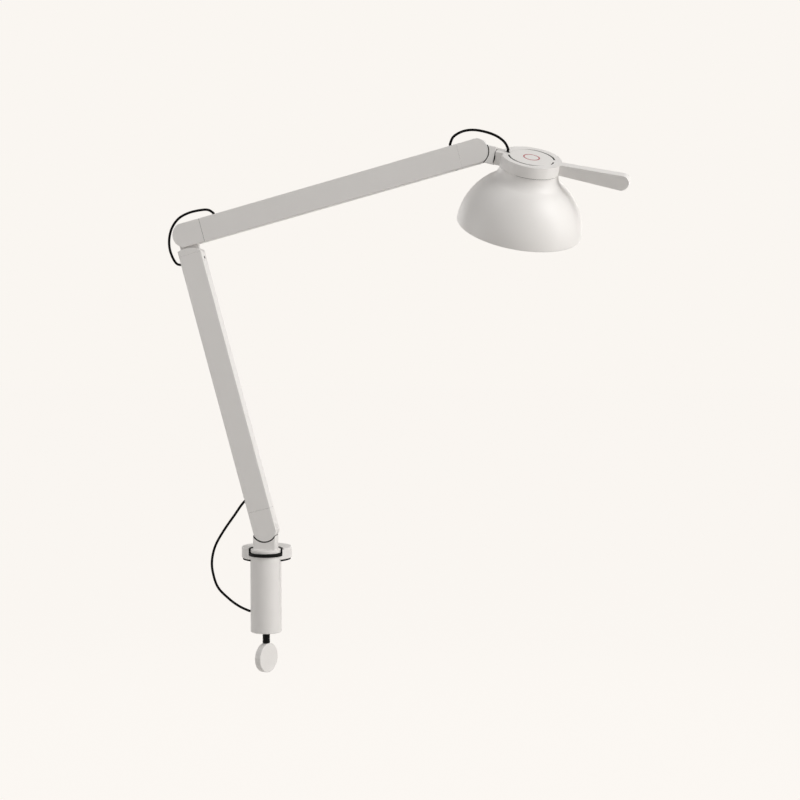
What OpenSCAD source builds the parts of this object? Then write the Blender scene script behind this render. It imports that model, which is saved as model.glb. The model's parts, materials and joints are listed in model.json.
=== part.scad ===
// Clamp lamp: a table clamp with a swivel, two equal arms and a shaded head on a tilt and roll joint.
// The origin lies on the axis of the clamp screw, at the underside of the upper jaw's pad.
// +Z is up, +Y points in over the table and the arms stand in the plane that the swivel sets.

/* [Clamp] */
// Radius of the round upper jaw
jaw_r = 33.25; // [31:0.25:36]
// Height of the upper jaw
jaw_h = 14.7; // [13:0.1:18]
// Distance from the screw's axis to the centre of the upper jaw
jaw_reach = 19.2; // [17:0.2:21]
// Thickness of the rubber pad under the upper jaw
jaw_pad_h = 2.2; // [1.5:0.1:3]
// Rim of the upper jaw that the pad leaves free
jaw_pad_inset = 1.45; // [1:0.05:3]
// Radius of the clamp's round body
body_r = 20.5; // [20:0.25:22]
// Thickness of the spine that joins the two jaws
spine_t = 11; // [9:0.5:13]
// Distance from the screw's axis forward to the back edges of the spine's cheeks
cheek_front = 0; // [0:0.5:2]
// Gap between the foot and each cheek
foot_room = 1.4; // [1:0.1:1.6]
// Opening between the two jaws without the pressure foot
throat_h = 52; // [48:1:60]
// Height of the lower jaw
lower_jaw_h = 42.4; // [38:0.2:50]
// Radius of the rounded edges of the clamp casting
cast_edge = 1.4; // [0.6:0.1:2]
// Metal left under the swivel's seat
seat_t = 5.2; // [5:0.1:7]

/* [Clamp screw] */
// Radius of the clamp screw
screw_r = 5; // [4:0.25:6]
// Gap between the pad and the pressure foot as shown
foot_gap = 20.5; // [12:0.5:30]
// Radius of the pressure foot
foot_r = 15; // [12:0.5:17]
// Height of the pressure foot's plate
foot_h = 5.8; // [5:0.2:8]
// Thickness of the rubber pad on the foot
foot_pad_h = 2.2; // [1.5:0.1:3]
// Radius of the knob, a disc that stands on its edge
knob_r = 19.4; // [16:0.5:24]
// Thickness of the knob
knob_t = 9; // [7:0.1:10]
// Length of screw that shows under the lower jaw
screw_show = 15.4; // [14:0.2:20]
// Turn of the knob about the screw as shown
knob_turn = 57; // [0:1:90]

/* [Swivel] */
// Radius of the swivel's disc
disc_r = 20; // [18:0.25:21]
// Thickness of the swivel's disc
disc_h = 4.6; // [4:0.1:6]
// Thickness of the liner's floor under the disc
liner_h = 3.8; // [3:0.1:5]
// Thickness of the liner's wall round the disc
liner_t = 2.4; // [1.5:0.1:3]
// Width of the block that carries the lower arm
block_w = 30; // [28:0.5:31]
// Height of the lower arm's pivot above the pad's underside
pivot_z = 43.5; // [42:0.5:50]
// Radius of the swivel bolt
swivel_bolt_r = 4; // [3:0.25:4.5]

/* [Arms] */
// Length of each arm from pivot to pivot
arm_len = 400; // [300:5:500]
// Width of the arms, seen from the side
arm_w = 31.5; // [30:0.5:34]
// Thickness of the arms
arm_t = 18; // [17:0.5:22]
// Wall of the hollow arms
arm_wall = 2; // [1.5:0.1:2.5]
// Radius of the arms' long edges
arm_edge = 1.2; // [0.6:0.1:1.8]
// Radius of the arms' round ends about the pivots
end_r = 16.7; // [16.5:0.1:17.5]
// Gap between a round end and the saddle that it turns in
saddle_gap = 0.8; // [0.5:0.1:1.2]
// Distance from the base pivot to the seam of its end piece
base_seam = 25.2; // [24:0.2:28]
// Distance from the elbow pivot to the lower arm's seam
elbow_low_seam = 26; // [25.5:0.2:28]
// Distance from the elbow pivot to the upper arm's seam
elbow_up_seam = 24.2; // [23:0.2:28]
// Distance from the head pivot to the upper arm's seam
head_seam = 21.3; // [21:0.1:24]
// Distance from the elbow pivot to the domed top of the lower arm
dome_reach = 17.5; // [17.5:0.1:19]
// Radius of that dome
dome_r = 31; // [29:1:36]
// Distance of the rounding's centre from the arm's middle line, towards the cord
dome_shift = 5; // [3:0.5:6]

/* [Pivots] */
// Thickness of the tongues inside the forks
tongue_t = 6; // [5:0.2:7]
// Radius of the tongues' round heads
tongue_r = 12.5; // [11:0.25:13]
// Thickness of the friction washers
washer_t = 1; // [0.8:0.1:1.3]
// Radius of the friction washers
washer_r = 10; // [8:0.5:11]
// Radius of the pivot bolts
bolt_r = 3; // [2.5:0.1:3.5]
// Radius of the bolts' heads
bolt_head_r = 5; // [4.5:0.1:5.5]
// Height of the bolts' heads
bolt_head_h = 2.8; // [2.4:0.1:3]

/* [Head] */
// Distance from the head pivot to the centre of the ring
ring_reach = 71; // [68:0.5:76]
// Outer radius of the ring
ring_r = 38.8; // [37.5:0.1:41]
// Height of the ring
ring_h = 15; // [13:0.2:18]
// Height of the ring's top above the roll axis
ring_top = 9; // [7.8:0.1:10]
// Wall of the ring and of its top
ring_wall = 2.6; // [2:0.1:3]
// Height of the block between the arm and the head
knuckle_h = 22.5; // [20:0.5:25]
// Distance from the head pivot to the block's far face
knuckle_reach = 25; // [24:0.5:27]
// Height of the bracket behind the ring
bracket_h = 18; // [16:0.5:20]
// Thickness of the bracket
bracket_t = 16; // [14:0.5:18]
// Width of the two curved slots in the top
slot_w = 2.3; // [1.5:0.1:3]
// Outer radius of the curved slots
slot_r = 30.4; // [28:0.1:31]
// Angle that each bridge between the slots takes
slot_bridge = 34; // [20:1:60]
// Radius of the red ring on the touch switch
touch_r = 10; // [8:0.5:12]
// Distance from the ring's centre to the centre of the handle's round end
handle_reach = 118; // [100:1:130]
// Radius of the handle's round end
handle_end_r = 9.75; // [9:0.25:11]
// Height of the handle at the ring
handle_root_h = 13.5; // [12:0.25:14]
// Thickness of the handle
handle_t = 13; // [10:0.5:15]

/* [Shade] */
// Radius of the shade's rim
shade_r = 80.8; // [76:0.2:86]
// Height of the shade below the ring
shade_h = 80.2; // [76:0.2:86]
// Straight band above the shade's rim
rim_h = 3; // [1:0.5:6]
// Radius of the shade's neck
neck_r = 37.8; // [37:0.1:38.6]
// Length of the neck's straight part below the ring
neck_h = 1.3; // [0.8:0.1:4]
// Radius of the hollow curve between neck and dome
neck_fillet = 20; // [16:0.5:24]
// Wall of the shade
shade_t = 1.5; // [1:0.1:2.5]
// Thickness of the opal diffuser
diffuser_t = 2; // [1.5:0.1:3]

/* [Pose] */
// Turn of the arms' plane on the swivel as shown
swivel = 11.9; // [0:0.1:30]
// Lean of the lower arm from upright as shown
lower_lean = 15.35; // [0:0.1:25]
// Rise of the upper arm above level as shown
upper_rise = 15.1; // [0:0.1:25]
// Tilt of the head below level as shown
head_tilt = 13.2; // [0:0.1:20]
// Roll of the head about its bracket as shown
head_roll = 20.5; // [0:0.5:30]

/* [Cord] */
// Diameter of the black cord
cord_d = 2.7; // [2:0.1:3]
// Distance from the base pivot to the lower cord hole
base_hole = 41.6; // [40:0.2:46]
// Distance from the elbow pivot to the lower arm's cord hole
elbow_low_hole = 35.6; // [35:0.2:38]
// Distance from the elbow pivot to the upper arm's cord hole
elbow_up_hole = 43.3; // [41:0.1:46]
// Distance from the head pivot to the upper arm's cord hole
head_hole = 30.5; // [30:0.1:34]
// Distance from the ring's centre to the cord's way into the head
head_entry = 31; // [30.6:0.1:32]
// Depth of the cord's way into the clamp below the pad
clamp_entry = 67; // [62:1:72]

/* [Hidden] */
$fn = 72;

// Clearances: turning fits, resting fits and the gap between faces that slide
fit = 0.05;
rest_gap = 0.1;
turn_gap = 0.3;
cut = 1;

// Levels of the clamp, from the underside of the pad up and down
jaw_top = jaw_pad_h + jaw_h;
seat_z = jaw_pad_h + seat_t;
throat_y = -(body_r - spine_t);
cheek_y = -cheek_front;
body_bottom = -(throat_h + lower_jaw_h);
pocket_r = disc_r + turn_gap + liner_t + rest_gap;
liner_top = seat_z + liner_h;
disc_z = liner_top + rest_gap;
disc_top = disc_z + disc_h;
swivel_head_r = 2 * swivel_bolt_r;
swivel_head_h = 2.6;
foot_top = -foot_gap - foot_pad_h;
foot_bottom = foot_top - foot_h;
foot_pin_r = 0.6 * screw_r;
foot_boss_h = 1.2;
foot_pin_h = 4.5;
screw_bottom = body_bottom - screw_show;
knob_z = screw_bottom - knob_r;
knob_pin_r = 2.4;
knob_pin_l = 11;
entry_r = cord_d / 2 + 1.1;
inlet_r = 5.6;
inlet_l = 11;
inlet_depth = 9;
inlet_bore = 2.8;
inlet_rise = 17.6;

// Sizes of the pivots
saddle_r = end_r + saddle_gap;
slot_half = tongue_t / 2 + washer_t + rest_gap;
slot_floor = tongue_r + 4.5;
bolt_bite = min(3, arm_t / 2 - slot_half - 1.5);
roll_bolt_bite = knuckle_reach - saddle_r - 0.8;
roll_washer_t = 0.8;
bracket_x = knuckle_reach + roll_washer_t + rest_gap;
spigot_l = 9.5;
tab_root = 4;
tab_l = 13.5;
tab_h = 5;
set_screw_r = 1.5;
elbow_screw_x = elbow_low_seam + 8;
head_screw_x = head_seam + 9.3;
inner_w = arm_w - 2 * arm_wall;
inner_t = arm_t - 2 * arm_wall;

// Levels of the head, from the roll axis
ring_bottom = ring_top - ring_h;
top_under = ring_top - ring_wall;
ring_inner = ring_r - ring_wall;
shade_bottom = ring_bottom - shade_h;
dome_z = shade_bottom + rim_h;
// The dome is part of a ball that has the shade's radius just above the rim and touches the
// hollow curve under the neck. It runs a hair past that curve, so that no crack is left
fillet_x = neck_r + neck_fillet;
fillet_z = ring_bottom - neck_h;
dome_h = fillet_z - dome_z;
touch = neck_fillet - 0.05;
steep = dome_h * dome_h - touch * touch;
spare = fillet_x * fillet_x + steep - shade_r * shade_r;
ball_rise = (spare * dome_h - touch * sqrt(spare * spare + 4 * steep * shade_r * shade_r)) / (2 * steep);
ball_r = norm([shade_r, ball_rise]);
flange_h = 2;
flange_r = 26;
boss_r = 2.9;
boss_reach = slot_r + boss_r + 0.1;
boss_turns = [0, 120, 240];
shade_screw_r = 1.5;
shade_screw_head_r = 2.7;
sink_r = flange_r + 4;
board_t = 1.6;
led_size = 3.5;
led_h = 1;
led_ring_r = 15;
led_count = 9;
diffuser_z = ring_bottom - flange_h - 5;
reflector_top = ring_bottom - flange_h - 0.2;
diffuser_ring_h = 2;
function neck_inside(z) = fillet_x - sqrt(pow(neck_fillet + shade_t, 2) - pow(max(0, fillet_z - z), 2));

// Route of the cord from the clamp to the lower arm
base_cord_start = [
  [-15, 0, -67], [-20.5, 0, -67], [-24, 0, -67], [-38, 3, -63], [-53, 7, -53], [-67, 10, -37],
  [-73.9, 13, -17.1]];
base_cord_rest = [
  [-74.9, 14, -0.1], [-71, 13, 18.9], [-60, 11, 38.9], [-46, 9, 58.9], [-35.1, 7.3, 71.9],
  [-28.7, 6, 78.6], [-26.3, 5.5, 79.2], [-22.8, 4.8, 80.2]];
// Routes over the elbow and the head joint: out from the swivel's axis, across the arms, up
elbow_cord_route = [
  [-108.8, 0, 391.5], [-112.4, 0, 390.5], [-114.8, 0, 389.9], [-120.9, 0, 391.7],
  [-127.9, 0, 399.7], [-132.4, 0, 411.7], [-132.8, 0, 425.7], [-129, 0, 439.7],
  [-119.1, 0, 452.7], [-103.1, 0, 461.2], [-87.1, 0, 465.3], [-76.1, 0, 464.3],
  [-69.1, 0, 458.9], [-68.4, 0, 456.4], [-67.5, 0, 452.8]];
head_cord_start = [
  [247.5, 0, 537.7], [246.6, 0, 541.4], [245.9, 0, 543.8], [248.9, 0, 553.2],
  [257.2, -0.1, 559.7], [267.7, -0.1, 562.8]];
head_cord_rest = [
  [280.2, -0.2, 562.9], [294.7, -1.8, 559.7], [307.9, -3.5, 554.2], [317.8, -4.9, 546.1],
  [322.2, -5.1, 537.4], [321.4, -3.4, 533.4], [320.4, -1.9, 529.2]];

// Frames: each places its children where its joint carries them in the photographed pose
module in_swivel() translate([0, 0, pivot_z]) rotate([0, 0, -swivel]) children();
module in_lower() in_swivel() rotate([0, -(90 + lower_lean), 0]) children();
module in_upper() in_lower() translate([arm_len, 0, 0]) rotate([0, 90 + lower_lean - upper_rise, 0]) children();
module in_tilt() in_upper() translate([arm_len, 0, 0]) rotate([0, upper_rise + head_tilt, 0]) children();
module in_head() in_tilt() rotate([head_roll, 0, 0]) children();
// The far end of an arm, seen from its pivot with +X running back down the arm
module at_far_end() translate([arm_len, 0, 0]) mirror([1, 0, 0]) children();

// Cylinders along Y and X, and a prism along X
module bar_y(r, y0, y1) translate([0, y0, 0]) rotate([-90, 0, 0]) cylinder(r = r, h = y1 - y0);
module bar_x(r, x0, x1) translate([x0, 0, 0]) rotate([0, 90, 0]) cylinder(r = r, h = x1 - x0);
module along_x(x0, x1) translate([x0, 0, 0]) rotate([90, 0, 90]) linear_extrude(x1 - x0) children();
module across_y(t) rotate([90, 0, 0]) linear_extrude(t, center = true) children();

// A rectangle about the origin with round corners
module rounded(w, h, r) {
  square([w - 2 * r, h], center = true);
  square([w, h - 2 * r], center = true);
  for (x = [-1, 1], y = [-1, 1]) translate([x * (w / 2 - r), y * (h / 2 - r)]) circle(r);
}

// A disc with a rounded edge above and below
module round_disc(r, z0, z1, edge) {
  rotate_extrude() intersection() {
    translate([0, (z0 + z1) / 2]) rounded(2 * r, z1 - z0, edge);
    translate([0, z0]) square([r, z1 - z0]);
  }
}

// A cord of eight sides swept along points, with its end faces square to them
function unit(v) = v / norm(v);
function heading(p, i) = unit(p[min(i + 1, len(p) - 1)] - p[max(i - 1, 0)]);
function carried(side, along) = unit(side - along * (side * along));
function sides_of(p, i, side) = i == len(p) ? [] :
  let (s = carried(side, heading(p, i))) concat([s], sides_of(p, i + 1, s));
// A smooth curve through points, with a ring half way along each longer stretch
function steps(p, i) = norm(p[i + 1] - p[i]) > 2.5 * cord_d ? 2 : 1;
function rings_before(p, i) = i == 0 ? 0 : steps(p, i - 1) + rings_before(p, i - 1);
function smooth(p) = concat(
  [for (i = [0:len(p) - 2], k = [0:steps(p, i) - 1])
    let (a = p[max(i - 1, 0)], b = p[i], c = p[i + 1], d = p[min(i + 2, len(p) - 1)], t = k / steps(p, i))
    b + (c - a) * t / 2 + (a - 2.5 * b + 2 * c - d / 2) * t * t + (1.5 * (b - c) + (d - a) / 2) * t * t * t],
  [p[len(p) - 1]]);
module cord(p, from = 0, to = -1) {
  n = 8;
  last = to < 0 ? len(p) - 1 : to;
  first = cross([0, 0, 1], heading(p, 0));
  side = sides_of(p, 0, norm(first) > 0.1 ? first : [0, 1, 0]);
  rings = [for (i = [from:last], k = [0:n - 1])
    let (u = side[i], v = cross(heading(p, i), u), a = 360 * k / n)
    p[i] + cord_d / 2 * (u * cos(a) + v * sin(a))];
  skin = [for (i = [0:last - from - 1], k = [0:n - 1], half = [0, 1])
    let (a = i * n + k, b = i * n + (k + 1) % n) half == 0 ? [a, b + n, b] : [a, a + n, b + n]];
  ends = [[for (k = [0:n - 1]) k], [for (k = [n - 1:-1:0]) (last - from) * n + k]];
  polyhedron(points = rings, faces = concat(skin, ends), convexity = 6);
}
// A point beside the arms, turned into place by the swivel
function turned(q) = [q[0] * cos(swivel) + q[1] * sin(swivel), q[1] * cos(swivel) - q[0] * sin(swivel), q[2]];
function beside_arms(route) = smooth([for (q = route) turned(q)]);

// Clamp
module clamp_body() color("gainsboro") difference() {
  union() {
    translate([0, jaw_reach, 0]) round_disc(jaw_r, jaw_pad_h, jaw_top, cast_edge);
    difference() {
      round_disc(body_r, body_bottom, seat_z + cast_edge, cast_edge);
      translate([0, 0, seat_z]) cylinder(r = body_r + cut, h = cast_edge + cut);
    }
  }
  throat();
  translate([0, 0, seat_z]) cylinder(r = pocket_r, h = jaw_h);
  translate([0, 0, jaw_pad_h - cut]) cylinder(r = swivel_bolt_r + fit, h = seat_t + 2 * cut);
  translate([0, 0, jaw_pad_h - cut]) cylinder(r = swivel_head_r + turn_gap, h = swivel_head_h + cut + rest_gap);
  translate([0, 0, body_bottom - cut]) cylinder(r = screw_r + fit, h = lower_jaw_h + 2 * cut);
  translate([0, 0, -clamp_entry]) bar_x(entry_r, -body_r - cut, -screw_r - 2);
  translate([0, 0, inlet_z()]) bar_y(inlet_r, inlet_y() - inlet_l, body_r + cut);
}
// The table's edge meets the spine's two cheeks, and the foot runs in the channel between them
module throat(extra = 0) {
  height = throat_h + jaw_pad_h + extra;
  translate([-body_r - cut, cheek_y, -throat_h]) cube([2 * (body_r + cut), body_r * 3, height]);
  translate([-foot_r - foot_room, throat_y, -throat_h]) cube([2 * (foot_r + foot_room), body_r * 3, height]);
}
function inlet_y() = sqrt(body_r * body_r - inlet_r * inlet_r) - rest_gap;
function inlet_z() = body_bottom + inlet_rise;

module upper_jaw_pad() color("#1c1c1c") difference() {
  translate([0, jaw_reach, 0]) cylinder(r = jaw_r - jaw_pad_inset, h = jaw_pad_h);
  translate([-jaw_r, throat_y - jaw_r, -cut]) cube([2 * jaw_r, jaw_r, jaw_pad_h + 2 * cut]);
  difference() {
    translate([0, 0, -cut]) cylinder(r = body_r, h = jaw_pad_h + 2 * cut);
    throat(2 * cut);
  }
}

module swivel_liner() color("#151515") difference() {
  translate([0, 0, seat_z]) cylinder(r = pocket_r - rest_gap, h = jaw_top - seat_z - 0.2);
  translate([0, 0, liner_top]) cylinder(r = disc_r + turn_gap, h = jaw_h);
  translate([0, 0, seat_z - cut]) cylinder(r = swivel_bolt_r + turn_gap, h = liner_h + 2 * cut);
  // The wall stands only where the jaw's pocket backs it
  translate([-pocket_r, -2 * pocket_r - 3, liner_top]) cube([2 * pocket_r, 2 * pocket_r, jaw_h]);
}

module power_inlet() color("#1a1a1a") translate([0, 0, inlet_z()]) difference() {
  bar_y(inlet_r - fit, inlet_y() - inlet_l + rest_gap, inlet_y());
  difference() {
    bar_y(inlet_bore, inlet_y() - inlet_depth, inlet_y() + cut);
    bar_y(inlet_bore / 3, inlet_y() - inlet_depth - cut, inlet_y() - 1);
  }
}

module clamp_cord_bushing() color("#161616") translate([0, 0, -clamp_entry]) difference() {
  bar_x(entry_r - fit, -body_r + 0.4, -body_r + 6);
  bar_x(cord_d / 2 + rest_gap, -body_r - cut, -body_r + 6 + cut);
}

// Clamp screw and pressure foot
module pressure_foot() color("gainsboro") difference() {
  union() {
    round_disc(foot_r, foot_bottom, foot_top, 1);
    translate([0, 0, foot_bottom - foot_boss_h]) cylinder(r = screw_r + 2.5, h = foot_boss_h + foot_h / 2);
  }
  foot_flat();
  translate([0, 0, foot_bottom - foot_boss_h - cut]) cylinder(r = foot_pin_r + fit, h = foot_pin_h + cut + rest_gap);
}
module pressure_foot_pad() color("#1c1c1c") difference() {
  translate([0, 0, foot_top]) cylinder(r = foot_r - 1, h = foot_pad_h);
  foot_flat();
}
// A flat on the foot runs along the spine and keeps the foot from turning with the screw
module foot_flat() translate([-foot_r, throat_y + turn_gap - foot_r, foot_bottom - cut])
  cube([2 * foot_r, foot_r, foot_h + foot_pad_h + 2 * cut]);
module clamp_screw() color("#101010") {
  shoulder = foot_bottom - foot_boss_h - rest_gap;
  translate([0, 0, screw_bottom + fit]) cylinder(r = screw_r, h = shoulder - screw_bottom - fit);
  translate([0, 0, shoulder - fit]) cylinder(r = foot_pin_r, h = foot_pin_h + fit);
  translate([0, 0, screw_bottom - knob_pin_l]) cylinder(r = knob_pin_r, h = knob_pin_l + cut);
}
module clamp_knob() color("whitesmoke") translate([0, 0, knob_z]) rotate([0, 0, knob_turn]) difference() {
  rotate([90, 0, 0]) round_disc(knob_r, -knob_t / 2, knob_t / 2, 0.8);
  cylinder(r = knob_pin_r + fit, h = knob_r + cut);
  translate([0, 0, knob_r - 7]) bar_y(1 + fit, -knob_t, knob_t);
}
module knob_pin() color("silver") translate([0, 0, knob_z]) rotate([0, 0, knob_turn])
  translate([0, 0, knob_r - 7]) for (s = [-1, 1]) bar_y(1, s > 0 ? knob_pin_r + fit : -knob_t / 2 + 0.3,
    s > 0 ? knob_t / 2 - 0.3 : -knob_pin_r - fit);

// Swivel that carries the lower arm
module swivel_base() color("whitesmoke") {
  rotate([0, 0, -swivel]) difference() {
    union() {
      round_disc(disc_r, disc_z, disc_top, 0.8);
      block_h = pivot_z - disc_top + 0.5 * disc_h;
      translate([0, 0, disc_top - 0.5 * disc_h]) linear_extrude(block_h) rounded(block_w, arm_t, arm_edge);
    }
    translate([0, 0, pivot_z]) bar_y(saddle_r, -arm_t, arm_t);
    translate([0, 0, disc_z - cut]) cylinder(r = swivel_bolt_r + fit, h = swivel_bolt_l() + cut);
  }
  in_swivel() rotate([0, 90, 0]) tongue(pivot_z - disc_top - swivel_bolt_l() / 2, tongue_r);
}
function swivel_bolt_l() = disc_h + 4.5;

module swivel_bolt() color("silver") rotate([0, 0, -swivel]) {
  head_z = jaw_pad_h + rest_gap / 2;
  difference() {
    translate([0, 0, head_z]) cylinder(r = swivel_head_r, h = swivel_head_h);
    translate([0, 0, head_z - cut]) cylinder(r = 2.4, h = 1.6 + cut, $fn = 6);
  }
  translate([0, 0, head_z + swivel_head_h - fit])
    cylinder(r = swivel_bolt_r, h = disc_z + swivel_bolt_l() - rest_gap - head_z - swivel_head_h + fit);
}

// A tongue with a round head on the pivot, running out along +X
module tongue(reach, half_w) difference() {
  union() {
    bar_y(tongue_r, -tongue_t / 2, tongue_t / 2);
    translate([0, -tongue_t / 2, -half_w]) cube([reach, tongue_t, 2 * half_w]);
  }
  bar_y(bolt_r + fit, -tongue_t, tongue_t);
}
module friction_washers() for (s = [-1, 1]) difference() {
  bar_y(washer_r, s > 0 ? tongue_t / 2 : -tongue_t / 2 - washer_t, s > 0 ? tongue_t / 2 + washer_t : -tongue_t / 2);
  bar_y(bolt_r + fit, -arm_t, arm_t);
}
module pivot_bolt() {
  head_y = arm_t / 2 - rest_gap - bolt_head_h;
  bar_y(bolt_r, -slot_half - bolt_bite + rest_gap, head_y + fit);
  difference() {
    bar_y(bolt_head_r, head_y, head_y + bolt_head_h);
    translate([0, head_y + bolt_head_h + cut, 0]) rotate([90, 0, 0]) cylinder(r = 2, h = 1.7 + cut, $fn = 6);
  }
}

// The section of an arm, and an end piece of that section round the pivot at its origin
module arm_section() rounded(arm_t, arm_w, arm_edge);
module arm_end(seam) intersection() {
  along_x(-end_r - cut, seam) arm_section();
  across_y(arm_t + cut) union() {
    circle(end_r);
    translate([0, -end_r]) square([seam, 2 * end_r]);
  }
}
// The part that an end piece pushes into the hollow arm, with a tab for its set screw
module spigot(seam, tab) {
  along_x(seam - cut, seam + (tab ? tab_root : spigot_l)) square([inner_t - 2 * fit, inner_w - 2 * fit], center = true);
  if (tab) along_x(seam, seam + tab_l) translate([0, -inner_w / 2 + fit + tab_h / 2])
    square([inner_t - 2 * fit, tab_h], center = true);
}
module fork(seam, tab) difference() {
  union() {
    arm_end(seam);
    spigot(seam, tab);
  }
  translate([-end_r - cut, -slot_half, -arm_w]) cube([end_r + cut + slot_floor, 2 * slot_half, 2 * arm_w]);
  bar_y(bolt_r + fit, -slot_half - bolt_bite, arm_t);
  bar_y(bolt_head_r + fit, arm_t / 2 - bolt_head_h - 2 * rest_gap, arm_t);
}
module screw_hole(x, r) translate([x, 0, -arm_w]) cylinder(r = r, h = arm_w);
module set_screw(x) translate([x, 0, -arm_w / 2 + 0.3]) difference() {
  cylinder(r = set_screw_r, h = arm_wall + tab_h - 1);
  translate([0, 0, -cut]) cylinder(r = 0.9, h = 1.5 + cut, $fn = 6);
}
module cord_hole(x, r) translate([x, 0, inner_w / 2 - cut]) cylinder(r = r, h = arm_wall + 2 * cut);
module bushing(x) translate([x, 0, 0]) difference() {
  translate([0, 0, inner_w / 2 - 1]) cylinder(r = entry_r - fit, h = arm_wall + 1.2);
  translate([0, 0, inner_w / 2 - 2]) cylinder(r = cord_d / 2 + rest_gap, h = arm_wall + 4);
}
module arm_tube(x0, x1, hole0, hole1, screw_x) difference() {
  along_x(x0, x1) arm_section();
  along_x(x0 - cut, x1 + cut) square([inner_t, inner_w], center = true);
  cord_hole(hole0, entry_r);
  cord_hole(hole1, entry_r);
  screw_hole(screw_x, set_screw_r + fit);
}
// The cord's way through an arm, from the inner end of one bushing to the other
module arm_wire(x0, x1) {
  top = inner_w / 2 - 1 - 2 * rest_gap;
  dip = [[0, 0], [0, 1], [1.5, 3.8], [5.5, 5]];
  cord(concat([for (d = dip) [x0 + d[0], 0, top - d[1]]], [for (i = [3:-1:0]) [x1 - dip[i][0], 0, top - dip[i][1]]]));
}

// Lower arm
module lower_arm_tube() color("whitesmoke") in_lower()
  arm_tube(base_seam, arm_len - elbow_low_seam, base_hole, arm_len - elbow_low_hole, arm_len - elbow_screw_x);
module lower_arm_base_fork() color("whitesmoke") in_lower() fork(base_seam, false);
module lower_arm_elbow_tongue() color("whitesmoke") in_lower() at_far_end() {
  difference() {
    union() {
      intersection() {
        along_x(0, elbow_low_seam) arm_section();
        across_y(arm_t + cut) intersection() {
          translate([dome_reach + arm_w, 0]) rounded(2 * arm_w, arm_w, 2);
          translate([sqrt(pow(dome_reach + dome_r, 2) - dome_shift * dome_shift), dome_shift]) circle(dome_r);
        }
      }
      spigot(elbow_low_seam, true);
    }
    screw_hole(elbow_screw_x, set_screw_r + fit);
  }
  tongue(dome_reach + 6, tongue_r);
}
module lower_arm_set_screw() color("dimgray") in_lower() at_far_end() set_screw(elbow_screw_x);
module lower_arm_bushings() color("#161616") in_lower()
  for (x = [base_hole, arm_len - elbow_low_hole]) bushing(x);
module lower_arm_wire() color("#101010") in_lower() arm_wire(base_hole, arm_len - elbow_low_hole);

// Upper arm
module upper_arm_tube() color("whitesmoke") in_upper()
  arm_tube(elbow_up_seam, arm_len - head_seam, elbow_up_hole, arm_len - head_hole, arm_len - head_screw_x);
module upper_arm_elbow_fork() color("whitesmoke") in_upper() fork(elbow_up_seam, false);
module upper_arm_head_fork() color("whitesmoke") in_upper() at_far_end() difference() {
  fork(head_seam, true);
  screw_hole(head_screw_x, set_screw_r + fit);
}
module upper_arm_set_screw() color("dimgray") in_upper() at_far_end() set_screw(head_screw_x);
module upper_arm_bushings() color("#161616") in_upper()
  for (x = [elbow_up_hole, arm_len - head_hole]) bushing(x);
module upper_arm_wire() color("#101010") in_upper() arm_wire(elbow_up_hole, arm_len - head_hole);

// Pivot hardware
module base_friction_washers() color("#222222") in_swivel() friction_washers();
module base_pivot_bolt() color("silver") in_lower() pivot_bolt();
module elbow_friction_washers() color("#222222") in_lower() at_far_end() friction_washers();
module elbow_pivot_bolt() color("silver") in_upper() pivot_bolt();
module head_friction_washers() color("#222222") in_tilt() friction_washers();
module head_pivot_bolt() color("silver") in_upper() at_far_end() pivot_bolt();

// Head joint
module head_knuckle() color("whitesmoke") in_tilt() difference() {
  union() {
    difference() {
      along_x(end_r / 2, knuckle_reach) rounded(arm_t, knuckle_h, arm_edge);
      bar_y(saddle_r, -arm_t, arm_t);
    }
    tongue(knuckle_reach - 2, min(tongue_r, knuckle_h / 2 - arm_edge));
  }
  bar_x(bolt_r + fit, knuckle_reach - roll_bolt_bite, knuckle_reach + cut);
}
module roll_washer() color("#222222") in_tilt() difference() {
  bar_x(min(bracket_t, bracket_h) / 2 - 0.5, knuckle_reach, knuckle_reach + roll_washer_t);
  bar_x(bolt_r + rest_gap, knuckle_reach - cut, knuckle_reach + roll_washer_t + cut);
}
module roll_bolt() color("silver") in_tilt() {
  inner_x = ring_reach - ring_inner + 0.6;
  bar_x(bolt_r, knuckle_reach - roll_bolt_bite + rest_gap, inner_x);
  bar_x(bolt_head_r, inner_x, inner_x + 2.5);
}

// Head
module at_ring() in_head() translate([ring_reach, 0, 0]) children();
module head_frame() color("whitesmoke") at_ring() difference() {
  union() {
    round_disc(ring_r, ring_bottom, ring_top, 0.5);
    along_x(bracket_x - ring_reach, -ring_inner) translate([0, ring_top - bracket_h / 2])
      rounded(bracket_t, bracket_h, arm_edge);
    handle();
  }
  difference() {
    translate([0, 0, ring_bottom - cut]) cylinder(r = ring_inner, h = ring_h - ring_wall + cut);
    for (a = boss_turns) rotate(a) translate([boss_reach, 0, ring_bottom]) cylinder(r = boss_r, h = ring_h);
  }
  // The bracket keeps clear of the shade's neck and shoulder
  translate([0, 0, ring_bottom - bracket_h]) cylinder(r = neck_r + rest_gap, h = bracket_h);
  for (a = boss_turns) rotate(a) translate([boss_reach, 0, ring_bottom - cut])
    cylinder(r = shade_screw_r + fit, h = 7 + cut);
  for (a = [0, 180]) rotate(a + 90) curved_slot();
  translate([0, 0, ring_top - 0.8]) ring_band(touch_r - 0.5, touch_r + 0.5, 0.8 + cut);
  translate([-head_entry, 0, 0]) cylinder(r = entry_r, h = ring_top + cut);
  bar_x(bolt_r + fit, -ring_reach, -ring_inner + cut);
}
module ring_band(r0, r1, h) difference() {
  cylinder(r = r1, h = h);
  translate([0, 0, -cut]) cylinder(r = r0, h = h + 2 * cut);
}
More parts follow.
